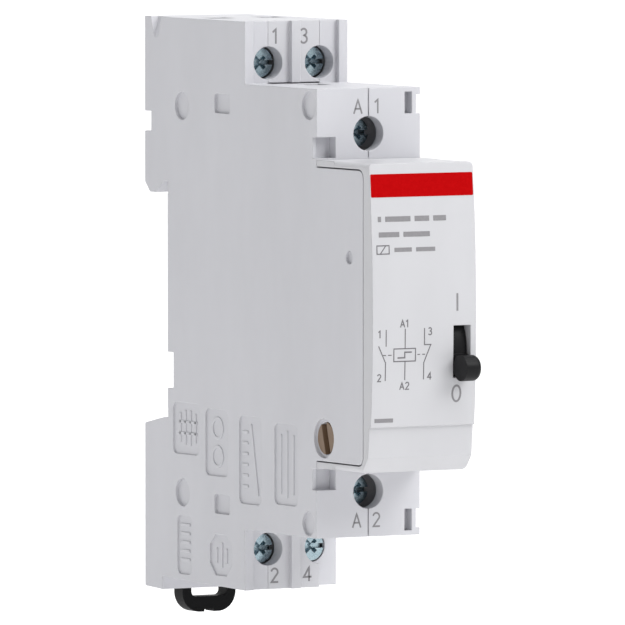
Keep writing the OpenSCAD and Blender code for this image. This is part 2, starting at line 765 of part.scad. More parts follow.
module pole_screw(n) color([0.55, 0.62, 0.7])
    flip(up(n)) terminal_screw(side(n) * pole_x, pole_head_y, pole_z, head_t + thread_run - 0.1);
module coil_screw(s) color([0.55, 0.62, 0.7])
    flip(s) terminal_screw(0, coil_head_y, coil_z, head_t + thread_run - 0.6);
module pole_cage(n) color([0.75, 0.75, 0.72]) flip(up(n)) clamp_cage(side(n) * pole_x, pole_bar_y(), pole_z);
module coil_cage(s) color([0.75, 0.75, 0.72]) flip(s) clamp_cage(0, coil_bar_y(), coil_z);

// ---------- current path ----------

// Stretch of a busbar from the cage to the strip that drops in front of the coil
module busbar_head(n) {
    x = side(n) * pole_x;
    top = pole_z + cage_h / 2 - 0.2;
    bend = tier_top - rim_wall - busbar_t - 0.1;
    block([x - strip_half(n), pole_bar_y(), bend], [x + strip_half(n), pole_bar_y() + busbar_t, top]);
    block([x - strip_half(n), drop_y, bend], [x + strip_half(n), pole_bar_y() + 0.1, bend + busbar_t]);
}

// X range of the fixed strip of terminal n, outer for the upper ones and inner for the lower ones
function strip_x(n) = side(n) * pole_x + (up(n) * side(n) * tip_pitch / 2);

module busbar(n, reach_y, turn_z) {
    x = strip_x(n);
    bend = tier_top - rim_wall - 0.1;
    flip(up(n)) busbar_head(n);
    flip(up(n)) block([x - strip_w / 2, drop_y, turn_z], [x + strip_w / 2, drop_y + busbar_t, bend]);
    flip(up(n)) block([x - strip_w / 2, reach_y, turn_z], [x + strip_w / 2, drop_y + 0.1, turn_z + fixed_t]);
}

// Back face of the fixed strips of the left pole and front face of those of the right pole
left_fixed_y = bridge_y + bridge_t / 2 + tip_t + tip_gap + tip_t;
right_fixed_y = bridge_y - bridge_t / 2 - tip_t - tip_play - tip_t - fixed_t;

module busbar_1() color([0.8, 0.5, 0.3]) {
    busbar(1, left_fixed_y, tip_z + 2);
    block([strip_x(1) - strip_w / 2, left_fixed_y, tip_z - 1.4],
        [strip_x(1) + strip_w / 2, left_fixed_y + fixed_t, tip_z + 2.1]);
}
module busbar_2() color([0.8, 0.5, 0.3]) {
    busbar(2, left_fixed_y, -tip_z + 2);
    block([strip_x(2) - strip_w / 2, left_fixed_y, tip_z - 2.1],
        [strip_x(2) + strip_w / 2, left_fixed_y + fixed_t, tip_z + 1.4]);
}
module busbar_3() color([0.8, 0.5, 0.3]) {
    busbar(3, right_fixed_y, tip_z + 7);
    block([strip_x(3) - strip_w / 2, right_fixed_y, tip_z - 1.4],
        [strip_x(3) + strip_w / 2, right_fixed_y + fixed_t, tip_z + 7.1]);
}
module busbar_4() color([0.8, 0.5, 0.3]) {
    busbar(4, right_fixed_y, -tip_z + 13);
    block([strip_x(4) - strip_w / 2, right_fixed_y, tip_z - 13.1],
        [strip_x(4) + strip_w / 2, right_fixed_y + fixed_t, tip_z + 1.4]);
}

// Tip riveted to a fixed strip, facing the moving bridge
module fixed_tip(n) color([0.85, 0.85, 0.82]) {
    if (side(n) < 0) bar_y(left_fixed_y - tip_t, left_fixed_y, strip_x(n), tip_z, tip_r);
    else bar_y(right_fixed_y + fixed_t, right_fixed_y + fixed_t + tip_t, strip_x(n), tip_z, tip_r);
}

// Middle of the strip to the bobbin; the upper one passes beside the pawl
function coil_strip_x(s) = s > 0 ? -pawl_w / 2 - pass - strip_half(0) + 0.6 : 0;

// Strip from a coil terminal to the bobbin
module coil_busbar(s) color([0.8, 0.5, 0.3]) flip(s) {
    w = strip_half(0);
    x = coil_strip_x(s);
    back = -coil_depth - flange_r + 0.6;
    low = coil_z - cage_h / 2 - pass - rib - busbar_t - 0.1;
    block([-w, coil_bar_y(), low], [w, coil_bar_y() + busbar_t, coil_z + cage_h / 2 - 0.2]);
    block([x - w + 0.6, coil_bar_y(), low], [x + w - 0.6, back, low + busbar_t]);
    block([x - w + 0.6, back - busbar_t, bobbin_h / 2 + 0.1], [x + w - 0.6, back, low + 0.1]);
}

// ---------- switching mechanism ----------

module manual_lever() color([0.09, 0.09, 0.1]) {
    difference() {
        union() {
            across(crank_x, crank_x + lever_w) {
                // Drum sector behind the slot
                intersection() {
                    translate(lever_at) circle(drum_r);
                    translate(lever_at) polygon([[2, -2.6], [-14, -13.2], [-14, 9], [2, 2.6]]);
                }
                translate(lever_at) circle(2.9);
                // Neck out to the knob
                translate(lever_at) rotate(180 + half_swing) translate([drum_r - 1.5, -knob_r * 0.72])
                    square([knob_reach - drum_r + 1.5, knob_r * 1.44]);
            }
            // Knob with a rounded end
            translate([lever_x - 1.45, lever_at[0] - knob_reach * cos(half_swing),
                lever_at[1] - knob_reach * sin(half_swing)])
                rotate([0, 90, 0]) {
                    cylinder(r = knob_r, h = knob_len - 0.8);
                    translate([0, 0, knob_len - 0.8]) rotate_extrude() {
                        square([knob_r - 0.8, 0.8]);
                        intersection() {
                            translate([knob_r - 0.8, 0]) circle(0.8);
                            square([knob_r, 0.8]);
                        }
                    }
                }
            // Crank and its pin
            across(crank_x, crank_x + crank_t) arm(lever_at, crank_angle, lever_crank, 1.5);
            bar_x(crank_x, fork_x + fork_t, lever_at + along(lever_crank, crank_angle), crank_pin_r);
        }
        bar_x(crank_x - over, crank_x + lever_w + over, lever_at, pin_r + run);
        // Room for the fork beside the crank
        across(crank_x + crank_t, crank_x + lever_w + over)
            translate(lever_at) polygon([[-2.2, -3.4], [-5.2, -14], [8, -14], [4, -3.4]]);
    }
}

module lever_pin() color([0.7, 0.72, 0.74]) bar_x(crank_x - 4, lever_wall_x + 0.3, lever_at, pin_r);
module carrier_pin() color([0.7, 0.72, 0.74]) bar_x(-inner_x - 0.5, inner_x + 0.5, carrier_at, pin_r);

module coupling_rotor() color([0.5, 0.41, 0.33]) {
    difference() {
        union() {
            bar_x(-half_w + 0.35, half_w - 0.35, rotor_at, rotor_r);
            // Shoulders that keep the rotor between the shells
            for (x = [-inner_x + 0.15, inner_x - 0.95]) bar_x(x, x + 0.8, rotor_at, shoulder_r);
            // Fork that the lever's crank pin drives
            across(fork_x, fork_x + fork_t) difference() {
                arm(rotor_at, fork_angle, fork_len + 0.6, 1.7);
                arm(rotor_at + along(fork_len - 1, fork_angle), fork_angle, 5, crank_pin_r + 0.1);
            }
            // Crank that drives the contact carrier
            across(tail_x, tail_x + tail_t) arm(rotor_at, tail_angle, rotor_crank, 1.5);
            bar_x(tail_x, tail_x + tail_t + pass + tail_t,
                rotor_at + along(rotor_crank, tail_angle), crank_pin_r);
        }
        // Screwdriver slots in both ends
        for (x = [-half_w - over, half_w - 1.2])
            translate([0, rotor_at[0], rotor_at[1]]) rotate([-15.5, 0, 0])
            block([x, -0.72, -rotor_r - over], [x + over + 1.2, 0.72, rotor_r + over]);
    }
}

// Plane of the carrier's slotted tail
carrier_x = tail_x + tail_t + pass;

module contact_carrier() color([0.25, 0.26, 0.28]) {
    difference() {
        union() {
            bar_x(-inner_x + 0.75, inner_x - 0.75, carrier_at, hub_r);
            // Tail with the slot for the rotor's crank pin
            across(carrier_x, carrier_x + tail_t) difference() {
                arm(carrier_at, slot_angle, tail_len + 0.6, 1.7);
                arm(carrier_at + along(tail_len - 0.9, slot_angle), slot_angle, 5, crank_pin_r + 0.1);
            }
            // Posts that carry the bridges
            for (s = [-1, 1]) block([s * bridge_x - post_w / 2, bridge_y - 0.9, carrier_at[1]],
                [s * bridge_x + post_w / 2, bridge_y + 0.9, tip_z + bridge_h / 2 + 0.8]);
            // Cam that the pawl pushes
            across(-0.45, 0.35) arm(carrier_at, 62, 5.2, 1.1);
        }
        bar_x(-inner_x, inner_x, carrier_at, pin_r + run);
        // Windows for the bridges
        block([-inner_x, bridge_y - bridge_t / 2, tip_z - bridge_h / 2],
            [inner_x, bridge_y + bridge_t / 2, tip_z + bridge_h / 2]);
    }
}

// Bridge with two tips; dir is the side that the tips face along Y
module bridge(s, dir) {
    y = bridge_y;
    color([0.8, 0.5, 0.3]) block([s * bridge_x - bridge_w / 2, y - bridge_t / 2, tip_z - bridge_h / 2],
        [s * bridge_x + bridge_w / 2, y + bridge_t / 2, tip_z + bridge_h / 2]);
    color([0.85, 0.85, 0.82]) for (k = [-1, 1]) {
        y0 = dir > 0 ? y + bridge_t / 2 - 0.1 : y - bridge_t / 2 - tip_t;
        bar_y(y0, y0 + tip_t + 0.1, s * bridge_x + k * tip_pitch / 2, tip_z, tip_r);
    }
}

module moving_contact_left() bridge(-1, 1);
module moving_contact_right() bridge(1, -1);

// ---------- coil and armature ----------

module coil_bobbin() color([0.2, 0.22, 0.26]) translate([0, -coil_depth, 0]) difference() {
    union() {
        for (z = [-bobbin_h / 2, bobbin_h / 2 - 1.2]) translate([0, 0, z]) cylinder(r = flange_r, h = 1.2);
        translate([0, 0, -bobbin_h / 2]) cylinder(r = core_r + 0.8, h = bobbin_h);
        // Posts that the coil terminals' strips end on
        for (s = [-1, 1]) flip(s)
            block([coil_strip_x(s) - strip_half(0) + 0.6, -flange_r + 0.6, bobbin_h / 2 - 0.1],
            [coil_strip_x(s) + strip_half(0) - 0.6, -flange_r + 1.8, bobbin_h / 2 + 2.2]);
    }
    translate([0, 0, -bobbin_h]) cylinder(r = core_r, h = 2 * bobbin_h);
}

module coil_winding() color([0.6, 0.28, 0.12]) translate([0, -coil_depth, -bobbin_h / 2 + 1.2]) difference() {
    cylinder(r = winding_r, h = bobbin_h - 2.4);
    translate([0, 0, -over]) cylinder(r = core_r + 0.8, h = bobbin_h + over);
}

module coil_core() color([0.6, 0.61, 0.63])
    translate([0, -coil_depth, coil_base]) cylinder(r = core_r, h = core_top - coil_base);

module coil_yoke() color([0.62, 0.63, 0.66]) difference() {
    union() {
        block([-yoke_w / 2, yoke_y, coil_base], [yoke_w / 2, yoke_y + yoke_t, hinge_z - 0.2]);
        block([-yoke_w / 2, -coil_depth - 5, coil_base], [yoke_w / 2, yoke_y + 0.1, coil_base + yoke_t]);
    }
    translate([0, -coil_depth, coil_base - over]) cylinder(r = core_r, h = 20);
    // Groove that the armature's knuckle rocks in
    bar_x(-yoke_w / 2 - over, yoke_w / 2 + over, [hinge_y, hinge_z], knuckle_r + run);
}

// Turns its children about the armature's hinge, from closed to open
module opened() {
    translate([0, hinge_y, hinge_z]) rotate([-armature_swing, 0, 0])
        translate([0, -hinge_y, -hinge_z]) children();
}

module armature() color([0.62, 0.63, 0.66]) opened() {
    // Round knuckle that rocks in the yoke's groove
    bar_x(-yoke_w / 2 + 0.5, yoke_w / 2 - 0.5, [hinge_y, hinge_z], knuckle_r);
    block([-yoke_w / 2 + 0.5, hinge_y - armature_len, hinge_z],
        [yoke_w / 2 - 0.5, hinge_y + 0.4, hinge_z + armature_t]);
}

// Leaf spring from the yoke's back over the armature's tail
module armature_spring() color([0.72, 0.66, 0.5]) across(-2, 2) {
    rect([yoke_y + yoke_t, 2], [yoke_y + yoke_t + 0.25, hinge_z + 2.2]);
    rect([yoke_y - 0.4, hinge_z + 1.95], [yoke_y + yoke_t + 0.25, hinge_z + 2.2]);
}

// Pawl that the armature pulls down on the carrier's cam
module drive_pawl() color([0.85, 0.82, 0.7]) opened() {
    y = hinge_y - armature_len;
    front = -coil_depth - flange_r - 1.2;
    across(-pawl_w / 2, pawl_w / 2)
        polygon([[y, hinge_z], [y, hinge_z + armature_t], [front - 1.2, hinge_z + armature_t],
            [front - 1.2, hinge_z - 9], [front - 6.2, hinge_z - 14], [front - 5.2, hinge_z - 14.8],
            [front, hinge_z - 9.5], [front, hinge_z]]);
}

// ---------- rail clip ----------

module din_clip() color([0.07, 0.07, 0.08]) {
    difference() {
        union() {
            // Head and hook, with a slope that lets the rail push the clip down
            block([-clip_w / 2, hook_y, hook_bottom], [clip_w / 2, clip_y + clip_t, channel_bottom - 0.8]);
            across(-hook_w / 2, hook_w / 2)
                polygon([[hook_y, channel_bottom - 1], [hook_y, channel_bottom + hook_h - 0.5],
                    [hook_y + 0.5, channel_bottom + hook_h], [clip_y + clip_t, channel_bottom - 1]]);
            // Slider and pull loop
            translate([0, clip_y + clip_t, 0]) rotate([90, 0, 0]) linear_extrude(clip_t) difference() {
                union() {
                    round_rect([-clip_w / 2, loop_z], [clip_w / 2, -rear_top + 6], loop_r);
                    rect([-clip_w / 2, -rear_top + 2], [clip_w / 2, hook_bottom + 1]);
                }
                round_rect([-clip_w / 2 + leg_w, loop_z + loop_bar], [clip_w / 2 - leg_w, -rear_top], 0.8);
                // Notch for a screwdriver
                polygon([[-1, loop_z - over], [1, loop_z - over],
                    [0.8, loop_z + 0.35], [-0.8, loop_z + 0.35]]);
            }
        }
        // Window with the spring
        block([-window_w / 2, hook_y - over, lug_z - lug_t - clip_travel - 1],
            [window_w / 2, clip_y + clip_t + over, window_top]);
    }
}

// Points of a ring of the spring's wire at a given turn
function coil_point(t, a) = [
    (spring_r + spring_wire_r * cos(a)) * cos(360 * t),
    (spring_r + spring_wire_r * cos(a)) * sin(360 * t),
    spring_wire_r * sin(a)];

module clip_spring() color([0.6, 0.6, 0.62]) {
    steps = 16 * spring_turns;
    sides = 8;
    length = window_top - lug_z - 2 * spring_wire_r - 0.1;
    points = [for (i = [0:steps], k = [0:sides - 1])
        coil_point(i / 16, 360 * k / sides) + [0, 0, length * i / steps]];
    walls = [for (i = [0:steps - 1], k = [0:sides - 1])
        [i * sides + k, i * sides + (k + 1) % sides, (i + 1) * sides + (k + 1) % sides, (i + 1) * sides + k]];
    ends = [[for (k = [sides - 1:-1:0]) k], [for (k = [0:sides - 1]) steps * sides + k]];
    translate([0, clip_y + clip_t / 2, lug_z + spring_wire_r + 0.05])
        polyhedron(points, concat(walls, ends), convexity = 10);
}

left_shell();
right_shell();
front_cap();
upper_terminal_partition();
lower_terminal_partition();
manual_lever();
lever_pin();
coupling_rotor();
contact_carrier();
carrier_pin();
moving_contact_left();
moving_contact_right();
busbar_1();
busbar_2();
busbar_3();
busbar_4();
coil_busbar(1);  // busbar_a1
coil_busbar(-1);  // busbar_a2
fixed_tip(1);  // fixed_contact_1
fixed_tip(2);  // fixed_contact_2
fixed_tip(3);  // fixed_contact_3
fixed_tip(4);  // fixed_contact_4
pole_cage(1);  // clamp_cage_1
pole_cage(2);  // clamp_cage_2
pole_cage(3);  // clamp_cage_3
pole_cage(4);  // clamp_cage_4
coil_cage(1);  // clamp_cage_a1
coil_cage(-1);  // clamp_cage_a2
pole_screw(1);  // terminal_screw_1
pole_screw(2);  // terminal_screw_2
pole_screw(3);  // terminal_screw_3
pole_screw(4);  // terminal_screw_4
coil_screw(1);  // terminal_screw_a1
coil_screw(-1);  // terminal_screw_a2
din_clip();
clip_spring();
coil_bobbin();
coil_winding();
coil_core();
coil_yoke();
armature();
armature_spring();
drive_pawl();
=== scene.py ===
import json
import math

import bmesh
import bpy
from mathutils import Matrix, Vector


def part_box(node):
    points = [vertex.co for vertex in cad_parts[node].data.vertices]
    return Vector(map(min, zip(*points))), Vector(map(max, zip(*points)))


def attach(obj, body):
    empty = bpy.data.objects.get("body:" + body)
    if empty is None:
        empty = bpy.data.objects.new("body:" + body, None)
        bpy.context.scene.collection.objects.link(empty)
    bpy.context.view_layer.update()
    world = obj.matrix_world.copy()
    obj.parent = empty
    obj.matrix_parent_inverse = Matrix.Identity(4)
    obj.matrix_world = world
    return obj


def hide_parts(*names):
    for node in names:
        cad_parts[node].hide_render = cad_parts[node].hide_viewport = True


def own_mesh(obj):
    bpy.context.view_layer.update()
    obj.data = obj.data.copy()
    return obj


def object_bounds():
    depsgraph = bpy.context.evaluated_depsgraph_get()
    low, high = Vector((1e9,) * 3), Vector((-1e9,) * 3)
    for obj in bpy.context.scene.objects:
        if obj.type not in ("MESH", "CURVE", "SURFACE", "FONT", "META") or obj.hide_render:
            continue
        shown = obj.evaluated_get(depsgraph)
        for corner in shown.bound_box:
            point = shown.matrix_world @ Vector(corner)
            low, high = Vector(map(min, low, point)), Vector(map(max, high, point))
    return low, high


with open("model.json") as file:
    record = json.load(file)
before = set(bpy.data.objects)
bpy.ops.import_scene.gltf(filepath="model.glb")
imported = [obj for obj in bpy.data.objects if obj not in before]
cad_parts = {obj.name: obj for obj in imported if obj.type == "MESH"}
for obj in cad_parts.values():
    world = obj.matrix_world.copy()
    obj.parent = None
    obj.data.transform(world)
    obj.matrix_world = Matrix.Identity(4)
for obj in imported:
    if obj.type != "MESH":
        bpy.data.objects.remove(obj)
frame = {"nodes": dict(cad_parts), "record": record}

CAD_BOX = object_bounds()
MM = 0.001
SCENE = bpy.context.scene
NODES = frame["nodes"]

# ---------- camera, floor and light ----------

# Camera: angles in degrees, distance in metres, lens in mm
AZIMUTH = -30.23
ELEVATION = 3.17
DISTANCE = 1.9332
LENS = 754.9
# Point the camera is turned about, and its aim's shift to the right and up
AIM = Vector((0.0, -0.025, 0.0))
AIM_RIGHT = 0.00140
AIM_UP = -0.00091
# Height of the part above the floor, so that the clip can be pulled down
FLOOR_DROP = 0.0042
FLOOR_GLOW = 0.8
FLOOR_GREY = 0.4
# Floor's half width, front edge, start of its bend, the bend's radius, and the wall's height
FLOOR_HALF = 3.0
FLOOR_FRONT = -2.6
FLOOR_BEND = 1.6
BEND_RADIUS = 0.8
WALL_H = 2.4
BEND_STEPS = 24
WORLD_COLOUR = (0.97, 0.98, 1.0, 1)
WORLD_GLOW = 0.4
# Side of each square light in metres
LIGHT_SIZE = 0.9


def view_axes(azimuth, elevation):
    """Right, up and backward directions of a camera that looks at the object from an angle."""
    a, e = math.radians(azimuth), math.radians(elevation)
    back = Vector((math.sin(a) * math.cos(e), -math.cos(a) * math.cos(e), math.sin(e)))
    right = Vector((math.cos(a), math.sin(a), 0.0))
    return right, back.cross(right), back


def make_camera():
    """Camera at the photograph's angle and distance."""
    right, up, back = view_axes(AZIMUTH, ELEVATION)
    data = bpy.data.cameras.new("camera")
    data.lens = LENS
    data.sensor_width = 36
    data.clip_start = 0.01
    data.clip_end = 50
    camera = bpy.data.objects.new("camera", data)
    SCENE.collection.objects.link(camera)
    aim = AIM + right * AIM_RIGHT + up * AIM_UP
    camera.location = aim + back * DISTANCE
    camera.rotation_euler = back.to_track_quat("Z", "Y").to_euler()
    SCENE.camera = camera


def area_light(name, azimuth, elevation, distance, watts):
    """Square soft light that points at the middle of the object."""
    back = view_axes(azimuth, elevation)[2]
    data = bpy.data.lights.new(name, "AREA")
    data.shape = "RECTANGLE"
    data.size = LIGHT_SIZE
    data.size_y = LIGHT_SIZE
    data.energy = watts
    light = bpy.data.objects.new(name, data)
    SCENE.collection.objects.link(light)
    light.location = AIM + back * distance
    light.rotation_euler = back.to_track_quat("Z", "Y").to_euler()


def make_world():
    """Even pale light from all round."""
    world = bpy.data.worlds.new("studio")
    world.use_nodes = True
    background = world.node_tree.nodes["Background"]
    background.inputs["Color"].default_value = WORLD_COLOUR
    background.inputs["Strength"].default_value = WORLD_GLOW
    SCENE.world = world


def make_floor():
    """Pale floor that curves up into a backdrop."""
    z0 = CAD_BOX[0][2] - FLOOR_DROP
    path = [(FLOOR_FRONT, z0), (FLOOR_BEND, z0)]
    for i in range(1, BEND_STEPS + 1):
        t = math.pi / 2 * i / BEND_STEPS
        path.append((FLOOR_BEND + BEND_RADIUS * math.sin(t), z0 + BEND_RADIUS * (1 - math.cos(t))))
    path.append((FLOOR_BEND + BEND_RADIUS, z0 + WALL_H))
    mesh = bpy.data.meshes.new("floor")
    verts = [(x, y, z) for y, z in path for x in (-FLOOR_HALF, FLOOR_HALF)]
    faces = [(2 * i, 2 * i + 1, 2 * i + 3, 2 * i + 2) for i in range(len(path) - 1)]
    mesh.from_pydata(verts, [], faces)
    floor = bpy.data.objects.new("floor", mesh)
    SCENE.collection.objects.link(floor)
    for p in mesh.polygons:
        p.use_smooth = True
    material = bpy.data.materials.new("floor_paint")
    material.use_nodes = True
    shader = material.node_tree.nodes["Principled BSDF"]
    shader.inputs["Base Color"].default_value = (FLOOR_GREY, FLOOR_GREY, FLOOR_GREY, 1)
    shader.inputs["Roughness"].default_value = 0.9
    shader.inputs["Emission Color"].default_value = (1, 1, 1, 1)
    shader.inputs["Emission Strength"].default_value = FLOOR_GLOW
    mesh.materials.append(material)


# ---------- materials ----------


class Tree:
    """Small helper to build a material's nodes."""

    def __init__(self, name):
        self.material = bpy.data.materials.new(name)
        self.material.use_nodes = True
        self.nodes = self.material.node_tree.nodes
        self.links = self.material.node_tree.links
        self.shader = self.nodes["Principled BSDF"]
        self.coords = self.node("ShaderNodeTexCoord").outputs["Object"]

    def node(self, kind, **settings):
        made = self.nodes.new(kind)
        for key, value in settings.items():
            setattr(made, key, value)
        return made

    def link(self, source, target):
        self.links.new(source, target)

    def feed(self, socket, value):
        """Gives an input a number, a colour or another node's output."""
        if isinstance(value, (int, float)):
            socket.default_value = value
        elif isinstance(value, tuple):
            socket.default_value = (*value, 1)
        else:
            self.link(value, socket)

    def noise(self, scale, detail=3, rough=0.5, stretch=(1, 1, 1)):
        """Noise in the piece's own coordinates, which the stretch multiplies first."""
        mapping = self.node("ShaderNodeMapping")
        mapping.inputs["Scale"].default_value = stretch
        self.link(self.coords, mapping.inputs["Vector"])
        noise = self.node("ShaderNodeTexNoise")
        noise.inputs["Scale"].default_value = scale
        noise.inputs["Detail"].default_value = detail
        noise.inputs["Roughness"].default_value = rough
        self.link(mapping.outputs["Vector"], noise.inputs["Vector"])
        return noise.outputs["Fac"]

    def ramp(self, source, low, high, out_low, out_high):
        """Maps low..high of a value to out_low..out_high."""
        ramp = self.node("ShaderNodeMapRange")
        for key, value in (("From Min", low), ("From Max", high), ("To Min", out_low), ("To Max", out_high)):
            ramp.inputs[key].default_value = value
        self.link(source, ramp.inputs["Value"])
        return ramp.outputs["Result"]

    def math(self, operation, a, b):
        made = self.node("ShaderNodeMath", operation=operation)
        for socket, value in zip(made.inputs, (a, b)):
            self.feed(socket, value)
        return made.outputs["Value"]

    def mix(self, factor, a, b):
        """Mixes two colours, by the numbers that the node's colour sockets have."""
        made = self.node("ShaderNodeMix", data_type="RGBA")
        for index, value in ((0, factor), (6, a), (7, b)):
            self.feed(made.inputs[index], value)
        return made.outputs[2]

    def edges(self, radius):
        """About 1 on sharp edges and 0 on flat faces, and the rounded normal itself."""
        bevel = self.node("ShaderNodeBevel", samples=6)
        bevel.inputs["Radius"].default_value = radius
        geometry = self.node("ShaderNodeNewGeometry")
        dot = self.node("ShaderNodeVectorMath", operation="DOT_PRODUCT")
        self.link(bevel.outputs["Normal"], dot.inputs[0])
        self.link(geometry.outputs["Normal"], dot.inputs[1])
        return self.ramp(dot.outputs["Value"], 0.995, 0.82, 0.0, 1.0), bevel.outputs["Normal"]

    def bump(self, height, distance, normal=None):
        bump = self.node("ShaderNodeBump")
        bump.inputs["Distance"].default_value = distance
        bump.inputs["Strength"].default_value = 1.0
        self.link(height, bump.inputs["Height"])
        if normal is not None:
            self.link(normal, bump.inputs["Normal"])
        return bump.outputs["Normal"]

    def set(self, **values):
        """Feeds the shader's inputs. Spaces in their names are written as underscores."""
        for key, value in values.items():
            self.feed(self.shader.inputs[key.replace("_", " ")], value)


# Radius in metres of a plastic's rounded edges, along which a highlight is painted as a paler band
SHARP_EDGE = 0.00012
SOFT_EDGE = 0.0002
# Share by which a plastic's darker patches are darker
DIRT = 0.04
WORN_METAL = (0.85, 0.85, 0.85)


def plastic(name, colour, roughness, grain, grain_depth, edge=SHARP_EDGE, edge_highlight_tint=0.06, gloss=0.5):
    """Moulded plastic: eroded grain, faint flow marks, softened edges with a painted highlight that makes
    them paler.
    """
    t = Tree(name)
    edge_wear_and_highlight, rounded = t.edges(edge)
    flow = t.noise(60, 4, 0.6, (1, 1, 0.35))
    speck = t.noise(1400, 2)
    dark = tuple(c * (1 - DIRT) for c in colour)
    light = tuple(min(1, c * (1 + DIRT * 0.5)) for c in colour)
    base = t.mix(t.ramp(flow, 0.3, 0.7, 0, 1), dark, light)
    # Painted highlight: the edges are made paler by the tint, broken up by fine specks
    painted_edge_highlight = tuple(min(1, c + edge_highlight_tint) for c in colour)
    base = t.mix(t.math("MULTIPLY", edge_wear_and_highlight, t.ramp(speck, 0.35, 0.65, 0.4, 1)), base, painted_edge_highlight)
    rough = t.ramp(t.noise(500, 3), 0.3, 0.7, roughness - 0.05, roughness + 0.05)
    grain_height = t.noise(grain, 4, 0.65)
    t.set(Base_Color=base, Roughness=rough, Normal=t.bump(grain_height, grain_depth, rounded))
    t.set(Specular_IOR_Level=gloss)
    return t.material


def metal(name, colour, roughness, tint=None, brushed=(1, 1, 1)):
    """Plated or drawn metal: uneven tint, fine drawing lines and bright worn edges."""
    t = Tree(name)
    edge_wear_and_highlight, rounded = t.edges(0.00008)
    other = tint or tuple(c * 0.85 for c in colour)
    base = t.mix(t.ramp(t.noise(350, 4, 0.6), 0.35, 0.65, 0, 1), colour, other)
    base = t.mix(t.math("MULTIPLY", edge_wear_and_highlight, 0.5), base, WORN_METAL)
    lines = t.noise(3000, 3, 0.6, brushed)
    rough = t.ramp(lines, 0.3, 0.7, roughness - 0.08, roughness + 0.1)
    t.set(Base_Color=base, Metallic=1.0, Roughness=rough, Normal=t.bump(lines, 0.000004, rounded))
    return t.material


def winding_wire():
    """Enamelled copper wire wound in close turns round the coil's axis."""
    t = Tree("winding_wire")
    wave = t.node("ShaderNodeTexWave", bands_direction="Z", wave_profile="SIN")
    wave.inputs["Scale"].default_value = 1100
    wave.inputs["Distortion"].default_value = 0.4
    t.link(t.coords, wave.inputs["Vector"])
    # Painted shade and highlight: the colour darkens in the grooves between turns and pales on their crowns,
    # following the bump's bands
    base = t.mix(wave.outputs["Fac"], (0.16, 0.045, 0.012), (0.62, 0.25, 0.09))
    t.set(Base_Color=base, Roughness=0.28, Coat_Weight=0.5, Normal=t.bump(wave.outputs["Fac"], 0.00006))
    return t.material


def print_ink(name, colour, roughness):
    """Pad-printed ink, a little uneven."""
    t = Tree(name)
    patch = t.noise(2500, 3, 0.6)
    pale = tuple(min(1, c * 1.1 + 0.001) for c in colour)
    base = t.mix(t.ramp(patch, 0.4, 0.75, 0, 1), colour, pale)
    t.set(Base_Color=base, Roughness=roughness, Specular_IOR_Level=0.02)
    t.set(Normal=t.bump(t.noise(6000, 2), 0.000004))
    return t.material


MATERIALS = {
    "shell_plastic": plastic("shell_plastic", (0.60, 0.60, 0.63), 0.46, grain=7000, grain_depth=0.000012,
                             edge=SOFT_EDGE, edge_highlight_tint=0.13, gloss=0.3),
    "cap_plastic": plastic("cap_plastic", (0.57, 0.57, 0.59), 0.38, grain=9000, grain_depth=0.000006,
                           edge=SOFT_EDGE, edge_highlight_tint=0.1, gloss=0.3),
    "partition_plastic": plastic("partition_plastic", (0.60, 0.60, 0.625), 0.42, grain=7000,
                                 grain_depth=0.00001, edge=SOFT_EDGE, edge_highlight_tint=0.13, gloss=0.3),
    "lever_plastic": plastic("lever_plastic", (0.008, 0.008, 0.009), 0.42, grain=5000,
                             grain_depth=0.00001, edge=0.00015, edge_highlight_tint=0.014, gloss=0.16),
    "clip_plastic": plastic("clip_plastic", (0.006, 0.006, 0.0065), 0.45, grain=5000,
                            grain_depth=0.000014, edge=SOFT_EDGE, edge_highlight_tint=0.008, gloss=0.08),
    "rotor_plastic": plastic("rotor_plastic", (0.20, 0.13, 0.08), 0.5, grain=6000,
                             grain_depth=0.00001, edge_highlight_tint=0.04),
    "carrier_plastic": plastic("carrier_plastic", (0.03, 0.032, 0.04), 0.5, grain=5000,
                               grain_depth=0.00001, edge=0.00015, edge_highlight_tint=0.03),
    "pawl_plastic": plastic("pawl_plastic", (0.62, 0.57, 0.42), 0.45, grain=6000, grain_depth=0.000008),
    "pin_steel": metal("pin_steel", (0.56, 0.57, 0.58), 0.28, brushed=(1, 12, 12)),
    "zinc_steel": metal("zinc_steel", (0.40, 0.50, 0.54), 0.24, tint=(0.30, 0.40, 0.45)),
    "copper_strip": metal("copper_strip", (0.86, 0.46, 0.27), 0.3, tint=(0.7, 0.36, 0.22),
                          brushed=(6, 6, 1)),
    "silver_tip": metal("silver_tip", (0.84, 0.83, 0.79), 0.3),
    "winding_copper": winding_wire(),
    "soft_iron": metal("soft_iron", (0.50, 0.50, 0.49), 0.36, tint=(0.42, 0.42, 0.42), brushed=(6, 6, 1)),
    "spring_steel": metal("spring_steel", (0.46, 0.46, 0.47), 0.3, brushed=(1, 1, 8)),
}

INKS = {
    "red": print_ink("red_ink", (0.43, 0.001, 0.002), 0.5),
    "grey": print_ink("grey_ink", (0.26, 0.255, 0.265), 0.55),
    "dark": print_ink("dark_ink", (0.17, 0.165, 0.175), 0.5),
}


def dress_nodes():
    """Gives each CAD node the material of its slot."""
    slots = {s["node"]: s["material_slot"] for s in frame["record"]["subparts"]}
    for name, obj in NODES.items():
        material = MATERIALS[slots[name]]
        if not obj.material_slots:
            obj.data.materials.append(material)
        for s in obj.material_slots:
            s.material = material


# ---------- printed marks ----------

# Height of the ink above the plastic, and how far it reaches into it
INK = 0.022
SUNK = 0.03
